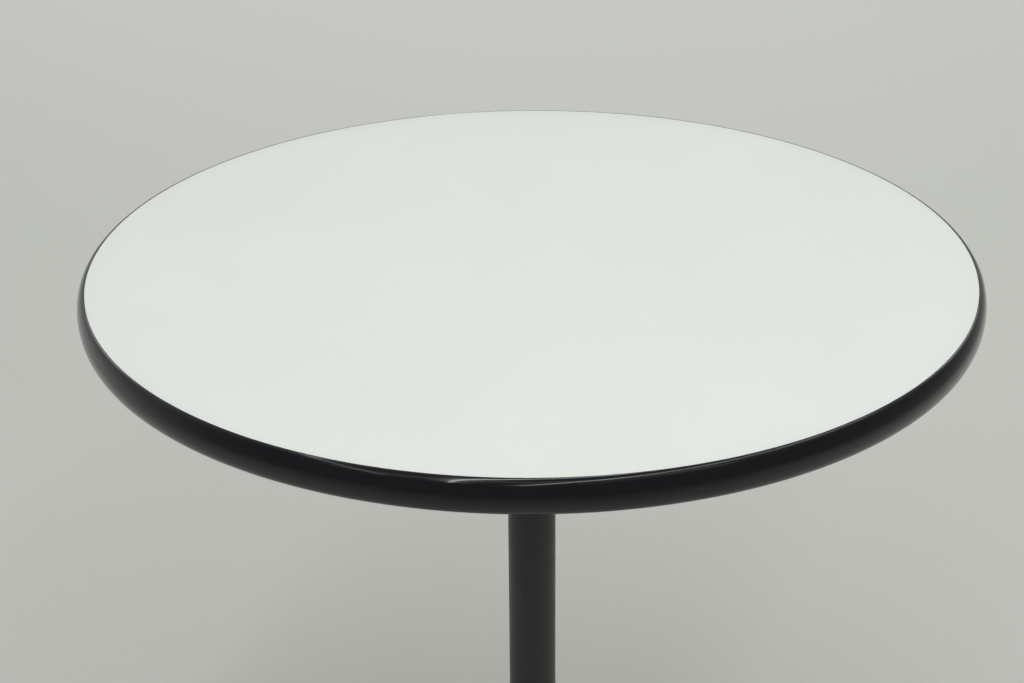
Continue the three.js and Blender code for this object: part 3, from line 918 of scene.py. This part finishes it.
def add_top():
    add_piece("laminate_sheet", laminate_sheet(), "laminate", "table", ["top_laminate"])
    add_piece("edge_moulding", edge_moulding(), "edge_vinyl", "table", ["edge_band"])
    add_piece("backer_panel", backer_panel(), "backer_sheet", "table", ["top_backer"])
    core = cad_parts["top_core"]
    core.data.materials.clear()
    core.data.materials.append(MATERIALS["core_board"])
    head_face = UNDERSIDE_Z - SPIDER_WEB - TOP_SCREW["tall"]
    for name, x, y in top_screws():
        bush = moved(threaded_bush(), (x, y, UNDERSIDE_Z))
        add_piece(f"threaded_bush_{name}", bush, "insert_brass", "table", [f"insert_{name}"])
        screw = moved(machine_screw(TOP_SCREW), (x, y, head_face))
        add_piece(f"machine_screw_{name}", screw, "zinc_steel", "table", [f"top_screw_{name}"])


def add_column():
    add_piece("spider_casting", spider_casting(), "casting_paint", "table", ["top_spider"])
    add_piece("column_tube", column_tube(), "column_paint", "table", ["column"])
    add_piece("threaded_tie_rod", tie_rod(), "zinc_steel", "table", ["tie_rod"])
    add_piece("hub_washer", hub_washer(), "zinc_steel", "table", ["tie_rod_washer"])
    nut_low, nut_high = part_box("tie_rod_nut")
    nut = hex_nut(17 * MM, ROD_RADIUS + FIT, nut_low.z, nut_high.z)
    add_piece("hub_nut", nut, "zinc_steel", "table", ["tie_rod_nut"])


def add_base():
    add_piece("hub_casting", hub_casting(), "casting_paint", "table", ["base_hub"])
    leg = leg_casting()
    for i, corner in enumerate(CORNERS):
        turn = corner_angle(i)
        name = f"leg_casting_{corner}"
        add_piece(name, moved(leg.copy(), turn=turn), "casting_paint", "table", [f"leg_{corner}"])
        for letter, side in (("a", -1), ("b", 1)):
            place = (LEG_BOLT_ALONG, side * LEG_BOLT_SIDE, LEG_BOLT_FACE)
            bolt = moved(machine_screw(LEG_BOLT), place, turn)
            node_name = f"leg_bolt_{corner}_{letter}"
            add_piece(f"cap_screw_{corner}_{letter}", bolt, "zinc_steel", "table", [node_name])
        foot = (FOOT_RADIUS, 0, 0)
        base = moved(glide_base(), foot, turn)
        add_piece(f"foot_base_{corner}", base, "glide_nylon", f"foot_{corner}", [f"glide_pad_{corner}"])
        screw = moved(glide_screw(), foot, turn)
        node_name = f"glide_stem_{corner}"
        add_piece(f"foot_screw_{corner}", screw, "zinc_steel", f"foot_screw_{corner}", [node_name])
    leg.free()


add_top()
add_column()
add_base()

# ---------------------------------------------------------------- floor and light

FLOOR_SIZE = 60.0
FLOOR_FRONT = -0.6  # beyond these lines the floor begins to fade into the surroundings
FLOOR_BACK = 3.7
FLOOR_SIDE = 1.3
FLOOR_FADE = 1.7  # how far the fade runs at the front and sides
FLOOR_BACK_FADE = 4.5
FLOOR_PAINTED_LIGHT = (0.2, 3.2)  # between these lines the floor's colour is painted paler towards the back, a painted light in place of brighter lighting there
WORLD_FRONT = 0.24  # the surroundings are dimmer in front of the table, and paler behind it
WORLD_BACK = 0.6
WORLD_TINT = (0.96, 0.98, 0.945)
PALE_SIDE = (-0.4, 0.92, 0)

CEILING = 2.7
WARM = (1.0, 0.985, 0.955)
COOL = (0.965, 1.0, 0.985)


def ceiling_row(sideways, near, far):
    """The two ends of a row of tubes. The rows are parallel, and run a little across the room."""
    slant, crossing = 0.33, -2  # at y = crossing, a row is just sideways from the middle
    return [(sideways + slant * (y - crossing), y, CEILING) for y in (near, far)]


# Each light is a flat panel: the two ends of its middle line, its width, the way that it faces,
# its power in watts and its tint.
DOWN = (0, 0, -1)
LIGHTS = {
    "row_far_left": (*ceiling_row(-1.75, -3.0, 1.2), 0.1, DOWN, 5, COOL),
    "row_left": (*ceiling_row(-0.72, -3.6, 1.2), 0.08, DOWN, 21, COOL),
    "row_right": (*ceiling_row(0.5, -4.4, 1.2), 0.1, DOWN, 24, COOL),
    "row_far_right": (*ceiling_row(1.5, -4.2, 1.2), 0.14, DOWN, 3, COOL),
    "overhead": ((0, 0.4, 2.9), (0, 3.0, 2.9), 2.2, DOWN, 2, COOL),
    "back_soft": ((-3.5, 4.6, 3.6), (3.5, 4.6, 3.6), 2.5, DOWN, 80, COOL),
    "front_soft": ((-1.6, -1.4, 2.2), (1.6, -1.4, 2.2), 0.5, (0, 1, -1), 3, WARM),
}


def floor_material():
    """A pale floor with painted light, paler behind the table in place of brighter lighting there, that
    fades into the surroundings on every side.
    """
    material, tree, shader, place = new_material("pale_floor")
    cloud = noise(tree, place, 1.1, detail=4)
    speck = noise(tree, place, 0.01, detail=3)
    split = node(tree, "ShaderNodeSeparateXYZ", {"Vector": place})
    # Painted light: the floor's colour grows paler towards the back, standing in for brighter lighting
    # there.
    behind = fit(tree, split.outputs["Y"], *FLOOR_PAINTED_LIGHT, 0, 1, smooth=True)
    grey = blend(tree, fit(tree, cloud, 0.3, 0.7, 0, 1), (0.72, 0.72, 0.68), (0.74, 0.74, 0.7))
    grey = blend(tree, fit(tree, speck, 0.55, 0.75, 0, 0.12), grey, (0.64, 0.64, 0.6))
    grey = blend(tree, behind, grey, (0.82, 0.812, 0.782))
    far_edge = FLOOR_BACK + FLOOR_BACK_FADE
    shown = fit(tree, split.outputs["Y"], FLOOR_BACK, far_edge, 1, 0, smooth=True)
    for axis, edge in (("Y", FLOOR_FRONT), ("X", FLOOR_SIDE), ("X", -FLOOR_SIDE)):
        far_edge = edge + math.copysign(FLOOR_FADE, edge)
        near_edge = fit(tree, split.outputs[axis], edge, far_edge, 1, 0, smooth=True)
        shown = maths(tree, "MULTIPLY", shown, near_edge)
    tree.links.new(grey, shader.inputs["Base Color"])
    tree.links.new(fit(tree, cloud, 0.3, 0.7, 0.75, 0.85), shader.inputs["Roughness"])
    tree.links.new(shown, shader.inputs["Alpha"])
    shader.inputs["Specular IOR Level"].default_value = 0.1
    return material


def add_floor():
    bm = bmesh.new()
    bmesh.ops.create_grid(bm, x_segments=8, y_segments=8, size=FLOOR_SIZE / 2)
    mesh = bpy.data.meshes.new("floor")
    bm.to_mesh(mesh)
    bm.free()
    mesh.materials.append(floor_material())
    floor = bpy.data.objects.new("floor", mesh)
    bpy.context.scene.collection.objects.link(floor)


def add_light(name, start, end, width, facing, power, tint):
    start, end = Vector(start), Vector(end)
    data = bpy.data.lights.new(name, "AREA")
    data.shape = "RECTANGLE"
    data.size, data.size_y = width, (end - start).length
    data.energy = power
    data.color = tint
    light = bpy.data.objects.new(name, data)
    bpy.context.scene.collection.objects.link(light)
    along = (end - start).normalized()
    across = Vector(facing).cross(along).normalized()
    turn = Matrix((across, along, across.cross(along))).transposed().to_4x4()
    light.matrix_world = Matrix.Translation((start + end) / 2) @ turn


def add_world():
    world = bpy.data.worlds.new("studio")
    world.use_nodes = True
    tree = world.node_tree
    direction = node(tree, "ShaderNodeTexCoord").outputs["Generated"]
    inputs = {0: direction, 1: PALE_SIDE}
    pale_side = node(tree, "ShaderNodeVectorMath", inputs, operation="DOT_PRODUCT").outputs["Value"]
    background = tree.nodes["Background"]
    background.inputs["Color"].default_value = (*WORLD_TINT, 1)
    strength = fit(tree, pale_side, 0.0, 0.95, WORLD_FRONT, WORLD_BACK, smooth=True)
    tree.links.new(strength, background.inputs["Strength"])
    bpy.context.scene.world = world


add_floor()
add_world()
for name, settings in LIGHTS.items():
    add_light(name, *settings)
bpy.context.scene.view_settings.view_transform = "Standard"
